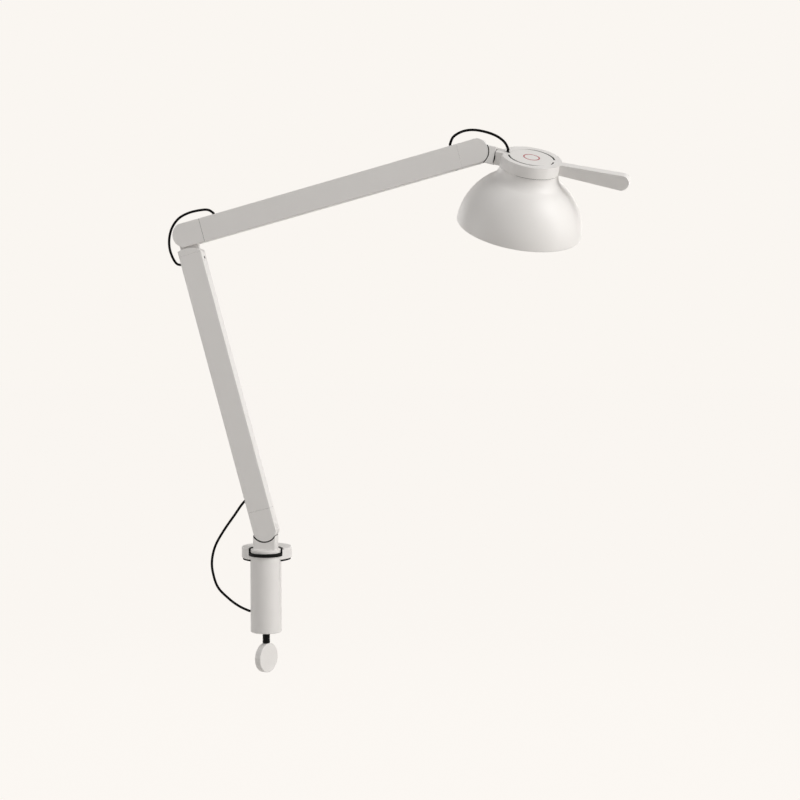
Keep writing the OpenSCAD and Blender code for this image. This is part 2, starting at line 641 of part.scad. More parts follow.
module curved_slot() {
  half = 90 - slot_bridge / 2;
  translate([0, 0, top_under - cut]) linear_extrude(ring_wall + 2 * cut) intersection() {
    difference() {
      circle(slot_r);
      circle(slot_r - slot_w);
    }
    polygon([[0, 0], 2 * slot_r * [cos(half), -sin(half)], [2 * slot_r, 0], 2 * slot_r * [cos(half), sin(half)]]);
  }
}
// The paddle widens from the ring to its round end, with its top flush with the ring's
module handle() across_y(handle_t) {
  end = [handle_reach, ring_top - handle_end_r];
  root = [ring_inner + 0.5, ring_top - handle_root_h];
  across = norm(root - end);
  lean = atan2(root[1] - end[1], root[0] - end[0]) + acos(handle_end_r / across);
  translate(end) circle(handle_end_r);
  polygon([[root[0], ring_top], [end[0], ring_top], end, end + handle_end_r * [cos(lean), sin(lean)], root]);
}
module head_cord_bushing() color("#161616") at_ring() translate([-head_entry, 0, top_under - 1]) difference() {
  cylinder(r = entry_r - fit, h = ring_wall + 1.2);
  translate([0, 0, -cut]) cylinder(r = cord_d / 2 + rest_gap, h = ring_wall + 4);
}
module touch_ring() color("indianred") at_ring() translate([0, 0, ring_top - 0.8 + fit])
  ring_band(touch_r - 0.5 + fit, touch_r + 0.5 - fit, 0.8);
module touch_board() color("darkgreen") at_ring() translate([0, 0, top_under - board_t - rest_gap])
  cylinder(r = touch_r + 6, h = board_t);

// Shade and light
module shade_body(inset) {
  open = inset > 0 ? cut : 0;
  middle = [fillet_x, fillet_z];
  ball = [0, dome_z + ball_rise];
  intersection() {
    translate([0, 0, ball[1]]) sphere(ball_r - inset);
    translate([0, 0, shade_bottom - open]) cylinder(r = ball_r + cut, h = 2 * ball_r);
  }
  rotate_extrude() difference() {
    polygon([[0, (ball[1] + fillet_z) / 2], [0, fillet_z], middle, middle * 0.6 + ball * 0.4]);
    translate(middle) circle(neck_fillet + inset);
  }
  translate([0, 0, fillet_z - cut]) cylinder(r = neck_r - inset, h = neck_h + cut);
}
module shade() color("whitesmoke") at_ring() difference() {
  shade_body(0);
  difference() {
    shade_body(shade_t);
    translate([0, 0, ring_bottom - flange_h]) cylinder(r = shade_r, h = flange_h + cut);
  }
  translate([0, 0, ring_bottom - flange_h - cut]) cylinder(r = flange_r, h = flange_h + 2 * cut);
  for (a = boss_turns) rotate(a) translate([boss_reach, 0, ring_bottom - flange_h - cut])
    cylinder(r = shade_screw_r + fit, h = flange_h + 2 * cut);
}
module shade_screws() color("silver") at_ring() for (a = boss_turns) rotate(a)
  translate([boss_reach, 0, ring_bottom - flange_h]) {
    translate([0, 0, -1.6]) cylinder(r = shade_screw_head_r, h = 1.6);
    translate([0, 0, -cut]) cylinder(r = shade_screw_r, h = flange_h + 6 + cut);
  }
module heat_sink() color("silver") at_ring() {
  translate([0, 0, ring_bottom]) cylinder(r = sink_r, h = 3);
  intersection() {
    translate([0, 0, ring_bottom + 2]) cylinder(r = sink_r - 1, h = 5);
    for (i = [-4:4]) translate([-sink_r, 6 * i - 0.75, ring_bottom + 2]) cube([2 * sink_r, 1.5, 5]);
  }
}
module led_board() color("white") at_ring() translate([0, 0, ring_bottom - board_t])
  cylinder(r = flange_r - 2, h = board_t);
module leds() color("khaki") at_ring() translate([0, 0, ring_bottom - board_t - led_h]) {
  for (i = [0:led_count - 1]) rotate(i * 360 / led_count) translate([led_ring_r - led_size / 2, -led_size / 2, 0])
    cube([led_size, led_size, led_h]);
  translate([-led_size / 2, -led_size / 2, 0]) cube([led_size, led_size, led_h]);
}
module reflector() color("white") at_ring() rotate_extrude() {
  inner = flange_r - 0.5;
  outer = neck_r - shade_t - 0.8;
  wall = 0.8;
  polygon([[inner, reflector_top], [inner + wall, reflector_top], [outer, diffuser_z + wall],
    [outer, diffuser_z], [outer - wall, diffuser_z], [inner, reflector_top - wall]]);
}
module diffuser() color("ivory") at_ring() translate([0, 0, diffuser_z - diffuser_t])
  cylinder(r = neck_r - shade_t - 0.4, h = diffuser_t);
module diffuser_ring() color("whitesmoke") at_ring() translate([0, 0, diffuser_z - diffuser_t - diffuser_ring_h])
  ring_band(neck_r - shade_t - 4, neck_inside(diffuser_z - diffuser_t) - fit, diffuser_ring_h);

// Cord
base_cord_route = concat(base_cord_start, base_cord_rest);
base_cord = smooth(base_cord_route);
base_split = rings_before(base_cord_route, len(base_cord_start));
head_cord_route = concat(head_cord_start, head_cord_rest);
head_cord = beside_arms(head_cord_route);
head_split = rings_before(head_cord_route, len(head_cord_start));
module base_cord_lower() color("#101010") cord(base_cord, 0, base_split);
module base_cord_upper() color("#101010") cord(base_cord, base_split);
module elbow_cord() color("#101010") cord(beside_arms(elbow_cord_route));
module head_cord_lower() color("#101010") cord(head_cord, 0, head_split);
module head_cord_upper() color("#101010") cord(head_cord, head_split);

clamp_body();
upper_jaw_pad();
swivel_liner();
power_inlet();
clamp_cord_bushing();
pressure_foot();
pressure_foot_pad();
clamp_screw();
clamp_knob();
knob_pin();
swivel_base();
swivel_bolt();
base_friction_washers();
base_pivot_bolt();
lower_arm_tube();
lower_arm_base_fork();
lower_arm_elbow_tongue();
lower_arm_set_screw();
lower_arm_bushings();
lower_arm_wire();
elbow_friction_washers();
elbow_pivot_bolt();
upper_arm_tube();
upper_arm_elbow_fork();
upper_arm_head_fork();
upper_arm_set_screw();
upper_arm_bushings();
upper_arm_wire();
head_knuckle();
head_friction_washers();
head_pivot_bolt();
roll_washer();
roll_bolt();
head_frame();
head_cord_bushing();
touch_ring();
touch_board();
shade();
shade_screws();
heat_sink();
led_board();
leds();
reflector();
diffuser();
diffuser_ring();
base_cord_lower();
base_cord_upper();
elbow_cord();
head_cord_lower();
head_cord_upper();
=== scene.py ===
import json
import math

import bmesh
import bpy
from mathutils import Matrix, Vector

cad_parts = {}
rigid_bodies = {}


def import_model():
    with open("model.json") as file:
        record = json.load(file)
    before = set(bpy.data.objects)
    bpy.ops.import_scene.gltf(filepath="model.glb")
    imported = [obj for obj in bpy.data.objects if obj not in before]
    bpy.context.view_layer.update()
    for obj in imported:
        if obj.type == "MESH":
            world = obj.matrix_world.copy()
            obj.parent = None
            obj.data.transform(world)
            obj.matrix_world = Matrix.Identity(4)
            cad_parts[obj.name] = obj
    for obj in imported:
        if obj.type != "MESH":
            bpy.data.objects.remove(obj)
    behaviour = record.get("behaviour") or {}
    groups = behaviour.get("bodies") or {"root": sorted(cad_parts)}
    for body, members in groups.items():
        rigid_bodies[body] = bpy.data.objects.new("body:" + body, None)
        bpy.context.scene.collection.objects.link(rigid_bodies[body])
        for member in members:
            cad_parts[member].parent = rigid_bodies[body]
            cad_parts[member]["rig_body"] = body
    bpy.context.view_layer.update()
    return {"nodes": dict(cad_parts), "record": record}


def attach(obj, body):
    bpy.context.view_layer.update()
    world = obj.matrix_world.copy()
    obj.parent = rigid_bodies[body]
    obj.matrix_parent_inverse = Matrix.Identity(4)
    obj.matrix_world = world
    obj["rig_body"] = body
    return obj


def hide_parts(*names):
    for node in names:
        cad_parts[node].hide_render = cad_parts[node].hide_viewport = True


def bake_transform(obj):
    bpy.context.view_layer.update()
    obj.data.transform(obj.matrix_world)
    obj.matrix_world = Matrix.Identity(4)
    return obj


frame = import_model()
nodes = frame["nodes"]
bodyOf = {name: node["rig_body"] for name, node in nodes.items()}
slotOf = {part["node"]: part["material_slot"] for part in frame["record"]["subparts"]}
mm = 0.001

# The pose and the reaches that the frame was built in, to place new pieces in their own frames
stand = {"swivel": 11.9, "lowerLean": 15.35, "upperRise": 15.1, "headTilt": 13.2, "headRoll": 20.5,
         "pivotHeight": 43.5 * mm, "armLength": 400 * mm, "ringReach": 71 * mm}


def turned(degrees, axis):
    return Matrix.Rotation(math.radians(degrees), 4, axis)


def shifted(x=0, y=0, z=0):
    return Matrix.Translation((x, y, z))


swivelFrame = shifted(z=stand["pivotHeight"]) @ turned(-stand["swivel"], "Z")
lowerFrame = swivelFrame @ turned(-90 - stand["lowerLean"], "Y")
elbowFrame = lowerFrame @ shifted(stand["armLength"])
upperFrame = elbowFrame @ turned(90 + stand["lowerLean"] - stand["upperRise"], "Y")
tiltFrame = upperFrame @ shifted(stand["armLength"]) @ turned(stand["upperRise"] + stand["headTilt"], "Y")
headFrame = tiltFrame @ turned(stand["headRoll"], "X")
ringFrame = headFrame @ shifted(stand["ringReach"])

# Camera
view = {"lens": 85.2, "sensor": 36, "place": (0.1772, -2.4797, 0.3915), "pitch": 85.882}
camera = bpy.data.objects.new("camera", bpy.data.cameras.new("camera"))
camera.data.lens = view["lens"]
camera.data.sensor_width = view["sensor"]
camera.location = view["place"]
camera.rotation_euler = (math.radians(view["pitch"]), 0, 0)
bpy.context.scene.collection.objects.link(camera)
bpy.context.scene.camera = camera
print("camera: set")


# Node helpers, shared by the finishes and the geometry trees
def put(tree, kind, inputs=None, **settings):
    node = tree.nodes.new(kind)
    for name, value in settings.items():
        setattr(node, name, value)
    for name, value in (inputs or {}).items():
        socket = node.inputs[name]
        if isinstance(value, bpy.types.NodeSocket):
            tree.links.new(value, socket)
        else:
            socket.default_value = value
    return node


def calc(tree, operation, first, second=0.0):
    return put(tree, "ShaderNodeMath", {0: first, 1: second}, operation=operation).outputs[0]


# Finishes: one row each, with the size of the grain in millimetres
finishes = {
    "white_paint": dict(colour=(0.80, 0.782, 0.765), spread=0.012, rough=0.42, roughSpread=0.06,
                        grain=0.55, bump=0.05, cloud=35),
    "white_casting": dict(colour=(0.80, 0.782, 0.765), spread=0.014, rough=0.44, roughSpread=0.07,
                          grain=0.7, bump=0.07, cloud=25),
    "white_plastic": dict(colour=(0.82, 0.81, 0.78), spread=0.01, rough=0.5, roughSpread=0.05,
                          grain=0.35, bump=0.04, cloud=20),
    "black_plastic": dict(colour=(0.004, 0.004, 0.004), spread=0.3, rough=0.55, roughSpread=0.1,
                          grain=0.3, bump=0.05, cloud=8, shine=0.08),
    "black_rubber": dict(colour=(0.004, 0.004, 0.004), spread=0.3, rough=0.75, roughSpread=0.1,
                         grain=0.25, bump=0.1, cloud=9, shine=0.08),
    "black_cord": dict(colour=(0.003, 0.003, 0.003), spread=0.3, rough=0.6, roughSpread=0.1,
                       grain=0.2, bump=0.06, cloud=12, shine=0.05),
    "black_steel": dict(colour=(0.005, 0.005, 0.005), spread=0.35, rough=0.5, roughSpread=0.12,
                        grain=0.15, bump=0.04, cloud=4, shine=0.1),
    "steel": dict(colour=(0.56, 0.56, 0.55), spread=0.06, rough=0.3, roughSpread=0.1, grain=0.12,
                  bump=0.03, cloud=3, metal=1.0),
    "aluminium": dict(colour=(0.72, 0.72, 0.73), spread=0.04, rough=0.35, roughSpread=0.1, grain=0.2,
                      bump=0.04, cloud=6, metal=1.0),
    "red_mark": dict(colour=(0.36, 0.003, 0.018), spread=0.08, rough=0.35, roughSpread=0.05, grain=0.2,
                     bump=0.02, cloud=3),
    "circuit_board": dict(colour=(0.02, 0.13, 0.05), spread=0.3, rough=0.35, roughSpread=0.1, grain=0.5,
                          bump=0.08, cloud=1.5),
    "led_board_white": dict(colour=(0.78, 0.78, 0.77), spread=0.03, rough=0.4, roughSpread=0.05,
                            grain=0.3, bump=0.02, cloud=5),
    "led": dict(colour=(0.85, 0.62, 0.12), spread=0.08, rough=0.25, roughSpread=0.05, grain=0.2,
                bump=0.02, cloud=1),
    "opal": dict(colour=(0.86, 0.85, 0.82), spread=0.01, rough=0.3, roughSpread=0.06, grain=0.3,
                 bump=0.015, cloud=15, glow=0.25),
}


# What all finishes share: the noises' detail, and the part of the grain's range that the roughness follows
texture = {"cloudDetail": 4, "grainDetail": 3, "grainRoughness": 0.6, "low": 0.3, "high": 0.7, "glowDepth": 2 * mm}


def makeFinish(name, look):
    finish = bpy.data.materials.new(name)
    finish.use_nodes = True
    tree = finish.node_tree
    tree.nodes.clear()
    place = put(tree, "ShaderNodeTexCoord").outputs["Object"]
    cloud = put(tree, "ShaderNodeTexNoise", {"Vector": place, "Scale": 1 / (look["cloud"] * mm),
                                             "Detail": texture["cloudDetail"]})
    grain = put(tree, "ShaderNodeTexNoise", {"Vector": place, "Scale": 1 / (look["grain"] * mm),
                                             "Detail": texture["grainDetail"],
                                             "Roughness": texture["grainRoughness"]})
    darker, lighter = ((*[min(1, c * (1 + side * look["spread"])) for c in look["colour"]], 1)
                       for side in (-1, 1))
    colour = put(tree, "ShaderNodeMix", {"Factor": cloud.outputs["Fac"]}, data_type="RGBA")
    colour.inputs["A"].default_value = darker
    colour.inputs["B"].default_value = lighter
    rough = put(tree, "ShaderNodeMapRange", {"Value": grain.outputs["Fac"], "From Min": texture["low"],
                                             "From Max": texture["high"],
                                             "To Min": look["rough"] - look["roughSpread"],
                                             "To Max": look["rough"] + look["roughSpread"]})
    bump = put(tree, "ShaderNodeBump", {"Height": grain.outputs["Fac"], "Strength": look["bump"],
                                        "Distance": look["grain"] * mm})
    shader = put(tree, "ShaderNodeBsdfPrincipled", {
        "Base Color": colour.outputs["Result"], "Roughness": rough.outputs["Result"],
        "Normal": bump.outputs["Normal"], "Metallic": look.get("metal", 0.0),
        "Specular IOR Level": look.get("shine", 0.5), "Subsurface Weight": look.get("glow", 0.0),
        "Subsurface Scale": texture["glowDepth"]})
    put(tree, "ShaderNodeOutputMaterial", {"Surface": shader.outputs["BSDF"]})
    return finish


finishFor = {name: makeFinish(name, look) for name, look in finishes.items()}
for name, node in nodes.items():
    node.data.materials.clear()
    node.data.materials.append(finishFor[slotOf[name]])
print("finishes:", len(finishFor))


# Cords: the routes of the frame's own cords, in millimetres, made smooth. Each split is the number of the point
# where a route passes from one pair of bodies to the next
cords = {
    "diameter": 3.3 * mm, "sides": 16, "spanSteps": 8, "baseSplit": 7, "headSplit": 6,
    "base": [(-15, 0, -67), (-20.5, 0, -67), (-24, 0.5, -66.2), (-36, 3, -61), (-49.5, 7, -52), (-64.5, 10, -37),
             (-71.5, 13, -17.1), (-72.4, 14, -0.1), (-67.5, 13, 18.9), (-56.2, 11, 38.9), (-42.3, 9, 58.9),
             (-33.4, 7.3, 71.9), (-28.2, 6, 78.3), (-26.3, 5.5, 79.2), (-22.8, 4.8, 80.2)],
    "elbow": [(-108.8, 0, 391.5), (-112.4, 0, 390.5), (-114.8, 0, 389.9), (-120.2, 0, 391.7), (-125.6, 0, 399.7),
              (-129.6, 0, 411.7), (-129.8, 0, 425.7), (-125.6, 0, 439.5), (-116.6, 0, 450.9), (-103.1, 0, 458),
              (-87.1, 0, 461.6), (-76.4, 0, 461.9), (-69.6, 0, 458.2), (-68.3, 0, 456), (-67.5, 0, 452.8)],
    "head": [(247.5, 0, 537.7), (246.6, 0, 541.4), (246.4, 0, 543.8), (250.2, 0, 552.2), (258.7, -0.1, 557.8),
             (268.7, -0.1, 560.6), (280.2, -0.2, 560.6), (294.7, -1.8, 557.4), (307.4, -3.5, 552.2),
             (316.8, -4.9, 545), (321.3, -5.1, 537.2), (321.1, -3.4, 533.2), (320.4, -1.9, 529.2)],
}


def smoothLine(points, steps):
    line = []
    for i in range(len(points) - 1):
        a, b, c, d = points[max(i - 1, 0)], points[i], points[i + 1], points[min(i + 2, len(points) - 1)]
        for k in range(steps):
            t = k / steps
            line.append(b + (c - a) * t / 2 + (a - 2.5 * b + 2 * c - d / 2) * t ** 2
                        + (1.5 * (b - c) + (d - a) / 2) * t ** 3)
    return line + [points[-1]]


def linkPiece(name, mesh, finish=None):
    piece = bpy.data.objects.new(name, mesh)
    bpy.context.scene.collection.objects.link(piece)
    if finish:
        mesh.materials.clear()
        mesh.materials.append(finishFor[finish])
    return piece


def layCord(name, line, node):
    points = [Vector(p) * mm for p in line]
    mesh = bpy.data.meshes.new(name)
    shape = bmesh.new()
    across, rings = Vector((0, 1, 0)), []
    for i, point in enumerate(points):
        along = (points[min(i + 1, len(points) - 1)] - points[max(i - 1, 0)]).normalized()
        across = (across - along * across.dot(along)).normalized()
        other = along.cross(across)
        angles = [2 * math.pi * k / cords["sides"] for k in range(cords["sides"])]
        rings.append([shape.verts.new(point + cords["diameter"] / 2
                                      * (across * math.cos(a) + other * math.sin(a))) for a in angles])
    for low, high in zip(rings, rings[1:]):
        for k in range(cords["sides"]):
            shape.faces.new((low[k - 1], low[k], high[k], high[k - 1])).smooth = True
    shape.faces.new(reversed(rings[0]))
    shape.faces.new(rings[-1])
    bmesh.ops.recalc_face_normals(shape, faces=shape.faces)
    shape.to_mesh(mesh)
    shape.free()
    piece = linkPiece(name, mesh, "black_cord")
    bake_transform(piece)
    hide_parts(node)


def besideArms(route):
    return [turned(-stand["swivel"], "Z") @ Vector(p) for p in route]


baseLine = smoothLine([Vector(p) for p in cords["base"]], cords["spanSteps"])
elbowLine = smoothLine(besideArms(cords["elbow"]), cords["spanSteps"])
headLine = smoothLine(besideArms(cords["head"]), cords["spanSteps"])
baseHalf, headHalf = (cords[split] * cords["spanSteps"] for split in ("baseSplit", "headSplit"))
layCord("base_cord_first_half", baseLine[:baseHalf + 1], "base_cord_lower")
layCord("base_cord_second_half", baseLine[baseHalf:], "base_cord_upper")
layCord("elbow_cord_loop", elbowLine, "elbow_cord")
layCord("head_cord_first_half", headLine[:headHalf + 1], "head_cord_lower")
layCord("head_cord_second_half", headLine[headHalf:], "head_cord_upper")


# How near two points have to be, in metres, to become one
weld = {"turned": 1e-6, "drawn": 1e-7, "frame": 2e-6}
# The part of half a thread's turn that its flank takes
threadFlank = {"from": 0.3, "to": 0.7}


# Geometry trees
def newTree(name, sockets):
    tree = bpy.data.node_groups.new(name, "GeometryNodeTree")
    tree.interface.new_socket("Geometry", in_out="INPUT", socket_type="NodeSocketGeometry")
    tree.interface.new_socket("Geometry", in_out="OUTPUT", socket_type="NodeSocketGeometry")
    return tree, {label: tree.interface.new_socket(label, in_out="INPUT", socket_type=kind).identifier
                  for label, kind in sockets.items()}


def growTurnedTree():
    tree, inputs = newTree("turned_piece", {"Sides": "NodeSocketInt", "Thread Depth": "NodeSocketFloat",
                                            "Thread Pitch": "NodeSocketFloat", "Finish": "NodeSocketMaterial"})
    given = put(tree, "NodeGroupInput")
    profile, sides = given.outputs["Geometry"], given.outputs["Sides"]
    count = put(tree, "GeometryNodeAttributeDomainSize", {"Geometry": profile}).outputs["Point Count"]
    grid = put(tree, "GeometryNodeMeshGrid", {"Vertices X": calc(tree, "ADD", sides, 1), "Vertices Y": count})
    index = put(tree, "GeometryNodeInputIndex").outputs[0]
    row = calc(tree, "MODULO", index, count)
    share = calc(tree, "DIVIDE", calc(tree, "FLOOR", calc(tree, "DIVIDE", index, count)), sides)
    place = put(tree, "GeometryNodeInputPosition").outputs[0]
    point = put(tree, "GeometryNodeSampleIndex", {"Geometry": profile, "Value": place, "Index": row},
                data_type="FLOAT_VECTOR").outputs["Value"]
    cutHere = put(tree, "GeometryNodeSampleIndex", {
        "Geometry": profile, "Index": row,
        "Value": put(tree, "GeometryNodeInputNamedAttribute", {"Name": "thread"}, data_type="FLOAT").outputs[0]},
        data_type="FLOAT").outputs["Value"]
    parts = put(tree, "ShaderNodeSeparateXYZ", {0: point}).outputs
    # The thread's flanks rise over a fifth of the pitch, and its groove is as wide as its crest
    phase = calc(tree, "SUBTRACT", calc(tree, "DIVIDE", parts["Z"], given.outputs["Thread Pitch"]), share)
    wave = calc(tree, "ABSOLUTE", calc(tree, "SUBTRACT", calc(tree, "MULTIPLY", calc(tree, "FRACT", phase), 2), 1))
    groove = put(tree, "ShaderNodeMapRange", {"Value": wave, "From Min": threadFlank["from"],
                                              "From Max": threadFlank["to"], "To Min": 0, "To Max": 1}).outputs[0]
    depth = calc(tree, "MULTIPLY", calc(tree, "MULTIPLY", groove, cutHere), given.outputs["Thread Depth"])
    flat = put(tree, "ShaderNodeCombineXYZ", {"X": calc(tree, "SUBTRACT", parts["X"], depth), "Z": parts["Z"]})
    spun = put(tree, "ShaderNodeVectorRotate", {"Vector": flat.outputs[0],
                                                "Angle": calc(tree, "MULTIPLY", share, 2 * math.pi)},
               rotation_type="Z_AXIS")
    moved = put(tree, "GeometryNodeSetPosition", {"Geometry": grid.outputs["Mesh"], "Position": spun.outputs[0]})
    closed = put(tree, "GeometryNodeMergeByDistance", {"Geometry": moved.outputs[0], "Distance": weld["turned"]})
    real = put(tree, "GeometryNodeRealizeInstances", {"Geometry": closed.outputs[0]})
    dressed = put(tree, "GeometryNodeSetMaterial", {"Geometry": real.outputs[0],
                                                    "Material": given.outputs["Finish"]})
    put(tree, "NodeGroupOutput", {"Geometry": dressed.outputs[0]})
    return tree, inputs


turnedTree, turnedInputs = growTurnedTree()


def frozen(piece):
    piece.data.update()
    graph = bpy.context.evaluated_depsgraph_get()
    mesh = bpy.data.meshes.new_from_object(piece.evaluated_get(graph), depsgraph=graph)
    old = piece.data
    piece.modifiers.clear()
    piece.data = mesh
    bpy.data.meshes.remove(old)


# Edges sharper than the limit are rounded on the frame's pieces and stay sharp on the turned and drawn ones
edges = {"limit": 32, "segments": 3, "coplanar": 0.6, "faceWeight": 100}


def pointOut(mesh, place):
    shape = bmesh.new()
    shape.from_mesh(mesh)
    bmesh.ops.dissolve_degenerate(shape, edges=shape.edges, dist=weld["drawn"])
    if shape.calc_volume(signed=True) < 0:
        bmesh.ops.reverse_faces(shape, faces=shape.faces)
    shape.to_mesh(mesh)
    shape.free()
    mesh.transform(place)
    mesh.shade_smooth()
    mesh.set_sharp_from_angle(angle=math.radians(edges["limit"]))


def turnPiece(name, profile, place, sides, finish, thread=None):
    mesh = bpy.data.meshes.new(name)
    mesh.from_pydata([(r * mm, 0, z * mm) for r, z in profile],
                     [(i, i + 1) for i in range(len(profile) - 1)], [])
    marks = mesh.attributes.new("thread", "FLOAT", "POINT")
    for mark, (r, z) in zip(marks.data, profile):
        mark.value = 1.0 if thread and thread["from"] <= z <= thread["to"] and r > thread["core"] else 0.0
    piece = linkPiece(name, mesh)
    shaper = piece.modifiers.new("turned", "NODES")
    shaper.node_group = turnedTree
    shaper[turnedInputs["Sides"]] = sides
    shaper[turnedInputs["Thread Depth"]] = thread["depth"] * mm if thread else 0.0
    shaper[turnedInputs["Thread Pitch"]] = thread["pitch"] * mm if thread else 1.0
    shaper[turnedInputs["Finish"]] = finishFor[finish]
    frozen(piece)
    if "thread" in piece.data.attributes:
        piece.data.attributes.remove(piece.data.attributes["thread"])
    pointOut(piece.data, place)
    return piece


def seat(piece, body, slot, *replaced):
    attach(piece, body)
    if replaced:
        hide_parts(*replaced)
    return piece


def arc(centre, radius, start, end, steps):
    return [(centre[0] + radius * math.cos(math.radians(start + (end - start) * k / steps)),
             centre[1] + radius * math.sin(math.radians(start + (end - start) * k / steps)))
            for k in range(steps + 1)]


# Rigid painted pieces: the frame's own shape with every sharp edge rounded
def softEdged(node, width):
    source = nodes[node]
    shape = bmesh.new()
    shape.from_mesh(source.data)
    bmesh.ops.remove_doubles(shape, verts=shape.verts, dist=weld["frame"])
    bmesh.ops.dissolve_limit(shape, angle_limit=math.radians(edges["coplanar"]), use_dissolve_boundaries=False,
                             verts=shape.verts, edges=shape.edges, delimit=set())
    mesh = bpy.data.meshes.new(node + "_finished")
    shape.to_mesh(mesh)
    shape.free()
    mesh.shade_smooth()
    piece = linkPiece(mesh.name, mesh, slotOf[node])
    bevel = piece.modifiers.new("edges", "BEVEL")
    bevel.limit_method = "ANGLE"
    bevel.angle_limit = math.radians(edges["limit"])
    bevel.width = width * mm
    bevel.segments = edges["segments"]
    bevel.use_clamp_overlap = False
    even = piece.modifiers.new("even", "WEIGHTED_NORMAL")
    even.weight = edges["faceWeight"]
    even.keep_sharp = True
    frozen(piece)
    return seat(piece, bodyOf[node], slotOf[node], node)


rounding = {
    "clamp_body": 0.5, "clamp_knob": 0.3, "pressure_foot": 0.3, "swivel_liner": 0.25,
    "swivel_base": 0.4, "swivel_bolt": 0.3,
    "lower_arm_tube": 0.35, "lower_arm_base_fork": 0.35, "lower_arm_elbow_tongue": 0.35,
    "upper_arm_tube": 0.35, "upper_arm_elbow_fork": 0.35, "upper_arm_head_fork": 0.35,
    "base_pivot_bolt": 0.3, "elbow_pivot_bolt": 0.3, "head_pivot_bolt": 0.3,
    "head_knuckle": 0.35, "head_frame": 0.3, "heat_sink": 0.2, "roll_bolt": 0.3,
}

# The paddle rises a little from the ring on, as in the photograph
paddle = {"root": 38, "ease": 6, "lift": 3.2}


def liftPaddle(piece):
    toRing = ringFrame.inverted()
    for vertex in piece.data.vertices:
        local = toRing @ vertex.co
        beyond = local.x / mm - paddle["root"]
        if beyond > 0:
            share = min(1, beyond / paddle["ease"])
            local.z += math.tan(math.radians(paddle["lift"])) * share * beyond * mm
            vertex.co = ringFrame @ local


for node, width in rounding.items():
    piece = softEdged(node, width)
    if node == "head_frame":
        liftPaddle(piece)
print("rounded pieces:", len(rounding))

acrossY = turned(90, "X")  # a drawing in X and Z, grown along Y
alongX = Matrix(((0, 0, 1, 0), (1, 0, 0, 0), (0, 1, 0, 0), (0, 0, 0, 1)))  # a drawing in Y and Z, grown along X


def stripPiece(name, outer, inner, low, high, place, finish, closed=False):
    shape = bmesh.new()
    loops = [[shape.verts.new((u * mm, v * mm, w * mm)) for u, v in line]
             for line, w in ((outer, low), (outer, high), (inner, high), (inner, low))]
    count = len(outer)
    for k in range(count if closed else count - 1):
        n = (k + 1) % count
        for a, b in zip(loops, loops[1:] + loops[:1]):
            shape.faces.new((a[k], a[n], b[n], b[k]))
    if not closed:
        shape.faces.new([loop[0] for loop in loops])
        shape.faces.new([loop[-1] for loop in reversed(loops)])
    bmesh.ops.remove_doubles(shape, verts=shape.verts, dist=weld["drawn"])
    bmesh.ops.recalc_face_normals(shape, faces=shape.faces)
    mesh = bpy.data.meshes.new(name)
    shape.to_mesh(mesh)
    shape.free()
    pointOut(mesh, place)
    return linkPiece(name, mesh, finish)


# Joint pieces: painted shade as black strips in the two saddles' gaps, a black washer at the roll joint drawn wide
# enough to show painted shade in the gap beside it, and what closes the forks' slots
jointLook = {"saddle": 16.85, "baseShadeOuter": 18.3, "headShadeOuter": 17.9, "proud": 0.05, "halfThick": 9,
             "blockHalf": 14.3, "knuckleHalf": 11.2, "disc": 16.4, "discHalf": 4.0, "discSides": 96,
             "webStart": 16.6, "webEnd": 17.1, "webHalf": 4.05, "webTrim": 0.3, "armHalf": 15.7,
             "rollRadius": 8.8, "rollFrom": 25.05, "rollTo": 26.5, "rollSoft": 0.2, "rollSides": 72, "steps": 40,
             "least": 1e-6}


# Painted shade: a black strip in a saddle's gap, where shade falls between the fork's round end and the saddle
def saddleShadeStrip(name, place, body, outerRadius, halfWidth, middle):
    look = jointLook
    outerHalf, innerHalf = (math.degrees(math.asin(halfWidth / r)) for r in (outerRadius, look["saddle"]))
    outer = arc((0, 0), outerRadius, middle - outerHalf, middle + outerHalf, look["steps"])
    inner = arc((0, 0), look["saddle"], middle - innerHalf, middle + innerHalf, look["steps"])
    half = look["halfThick"] + look["proud"]
    seat(stripPiece(name, outer, inner, -half, half, place @ acrossY, "black_rubber"), body, "black_rubber")


saddleShadeStrip("base_saddle_painted_shade", swivelFrame, "swivel", jointLook["baseShadeOuter"], jointLook["blockHalf"], -90)
saddleShadeStrip("head_saddle_painted_shade", tiltFrame, "knuckle", jointLook["headShadeOuter"], jointLook["knuckleHalf"], 0)


def roundedDisc(radius, low, high, soft=0.3, steps=4):
    return ([(0, low), (radius - soft, low)] + arc((radius - soft, low + soft), soft, -90, 0, steps)[1:]
            + arc((radius - soft, high - soft), soft, 0, 90, steps) + [(0, high)])


def closeFork(name, tonguePlace, tongueBody, forkPlace, forkBody):
    look = jointLook
    disc = turnPiece(name + "_tongue_disc", roundedDisc(look["disc"], -look["discHalf"], look["discHalf"]),
                     tonguePlace @ acrossY, look["discSides"], "white_paint")
    seat(disc, tongueBody, "white_paint")
    start = math.degrees(math.asin(look["armHalf"] / look["webStart"])) - look["webTrim"]
    angles = [math.radians(-start + 2 * start * k / look["steps"]) for k in range(look["steps"] + 1)]
    inner = [(look["webStart"] * math.cos(a), look["webStart"] * math.sin(a)) for a in angles]
    # The outer line runs on from the inner one, away from the axis, as far as the web's end or the arm's side
    outer = [(x * grow, z * grow) for x, z, grow in (
        (x, z, min(look["webEnd"] / x, look["armHalf"] / max(abs(z), look["least"]))) for x, z in inner)]
    web = stripPiece(name + "_fork_web", outer, inner, -look["webHalf"], look["webHalf"], forkPlace @ acrossY,
                     "white_paint")
    seat(web, forkBody, "white_paint")


